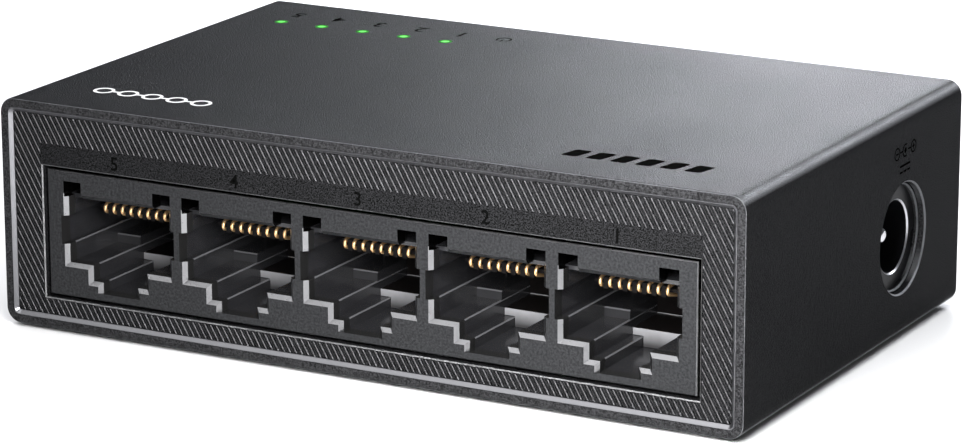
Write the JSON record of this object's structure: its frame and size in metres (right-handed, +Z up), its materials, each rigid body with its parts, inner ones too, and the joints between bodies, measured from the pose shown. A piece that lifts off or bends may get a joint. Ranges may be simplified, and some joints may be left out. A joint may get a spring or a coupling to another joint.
{
  "type": "desktop network switch",
  "caption": "Desktop network switch: rounded box case, a row of modular jacks in a ribbed front bezel, status lights on top and a barrel power inlet in the side.",
  "frame": {"origin": "on the standing surface, under the middle of the case", "axes": "+X to the right when facing the ports, -Y towards the user at the ports, +Z up"},
  "size_m": [0.083, 0.052, 0.024],
  "materials": {
    "case_plastic": "fine grain, satin",
    "bezel_plastic": "fine grain with bright-cut ribs",
    "trim_metal": "satin bevel",
    "plate_plastic": "fine grain with bright-cut bevels",
    "housing_plastic": "gloss black",
    "carrier_plastic": "gloss black",
    "contact_gold": "gold flash",
    "lit_pipe": "clear, lit green from below",
    "clear_pipe": "clear",
    "led_package": "white package, clear dome",
    "board_laminate": "green solder mask",
    "chip_epoxy": "moulded epoxy",
    "transformer_epoxy": "moulded epoxy",
    "can_metal": "brushed can",
    "ferrite": "ferrite",
    "ceramic_chip": "ceramic",
    "screw_steel": "zinc plate",
    "inlet_plastic": "moulded",
    "pin_chrome": "polished",
    "spring_metal": "nickel plate",
    "foot_rubber": "soft"
  },
  "bodies": {
    "root": {"accent_trim": "trim_metal", "bulk_capacitor_1": "can_metal", "bulk_capacitor_2": "can_metal", "chip_capacitors": "ceramic_chip", "chip_resistors": "chip_epoxy", "circuit_board": "board_laminate", "contact_carrier_1": "carrier_plastic", "contact_carrier_2": "carrier_plastic", "contact_carrier_3": "carrier_plastic", "contact_carrier_4": "carrier_plastic", "contact_carrier_5": "carrier_plastic", "contact_leads_1": "contact_gold", "contact_leads_2": "contact_gold", "contact_leads_3": "contact_gold", "contact_leads_4": "contact_gold", "contact_leads_5": "contact_gold", "cover_screws": "screw_steel", "crystal": "can_metal", "foot_front_left": "foot_rubber", "foot_front_right": "foot_rubber", "foot_rear_left": "foot_rubber", "foot_rear_right": "foot_rubber", "front_bezel": "bezel_plastic", "inlet_body": "inlet_plastic", "inlet_pin": "pin_chrome", "inlet_terminal": "spring_metal", "jack_face_plate": "plate_plastic", "jack_housing": "housing_plastic", "led_port_1": "led_package", "led_port_2": "led_package", "led_port_3": "led_package", "led_port_4": "led_package", "led_port_5": "led_package", "led_power": "led_package", "light_pipe_1": "lit_pipe", "light_pipe_2": "lit_pipe", "light_pipe_3": "lit_pipe", "light_pipe_4": "lit_pipe", "light_pipe_5": "lit_pipe", "light_pipe_power": "clear_pipe", "line_transformer_1": "transformer_epoxy", "line_transformer_2": "transformer_epoxy", "line_transformer_3": "transformer_epoxy", "line_transformer_4": "transformer_epoxy", "line_transformer_5": "transformer_epoxy", "memory_chip": "chip_epoxy", "outer_sleeve": "case_plastic", "power_inductor": "ferrite", "rear_cover": "case_plastic", "regulator_chip": "chip_epoxy", "switch_chip": "chip_epoxy"},
    "port_1_contacts": {"contact_springs_1": "contact_gold"},
    "port_2_contacts": {"contact_springs_2": "contact_gold"},
    "port_3_contacts": {"contact_springs_3": "contact_gold"},
    "port_4_contacts": {"contact_springs_4": "contact_gold"},
    "port_5_contacts": {"contact_springs_5": "contact_gold"},
    "inlet_contact": {"inlet_spring": "spring_metal"}
  },
  "joints": [
    {"name": "port_1_contact_flex", "type": "hinge", "parent": "root", "child": "port_1_contacts", "pos_m": [0.0281, -0.02168, 0.01307], "axis": [1, 0, 0], "range_deg": [0, 8], "stiffness_Nm_per_rad": 0.2},
    {"name": "port_2_contact_flex", "type": "hinge", "parent": "root", "child": "port_2_contacts", "pos_m": [0.01405, -0.02168, 0.01307], "axis": [1, 0, 0], "range_deg": [0, 8], "stiffness_Nm_per_rad": 0.2},
    {"name": "port_3_contact_flex", "type": "hinge", "parent": "root", "child": "port_3_contacts", "pos_m": [0, -0.02168, 0.01307], "axis": [1, 0, 0], "range_deg": [0, 8], "stiffness_Nm_per_rad": 0.2},
    {"name": "port_4_contact_flex", "type": "hinge", "parent": "root", "child": "port_4_contacts", "pos_m": [-0.01405, -0.02168, 0.01307], "axis": [1, 0, 0], "range_deg": [0, 8], "stiffness_Nm_per_rad": 0.2},
    {"name": "port_5_contact_flex", "type": "hinge", "parent": "root", "child": "port_5_contacts", "pos_m": [-0.0281, -0.02168, 0.01307], "axis": [1, 0, 0], "range_deg": [0, 8], "stiffness_Nm_per_rad": 0.2},
    {"name": "inlet_contact_flex", "type": "hinge", "parent": "root", "child": "inlet_contact", "pos_m": [0.02835, 0.0113, 0.0062], "axis": [0, 1, 0], "range_deg": [0, 5], "stiffness_Nm_per_rad": 0.05}
  ]
}
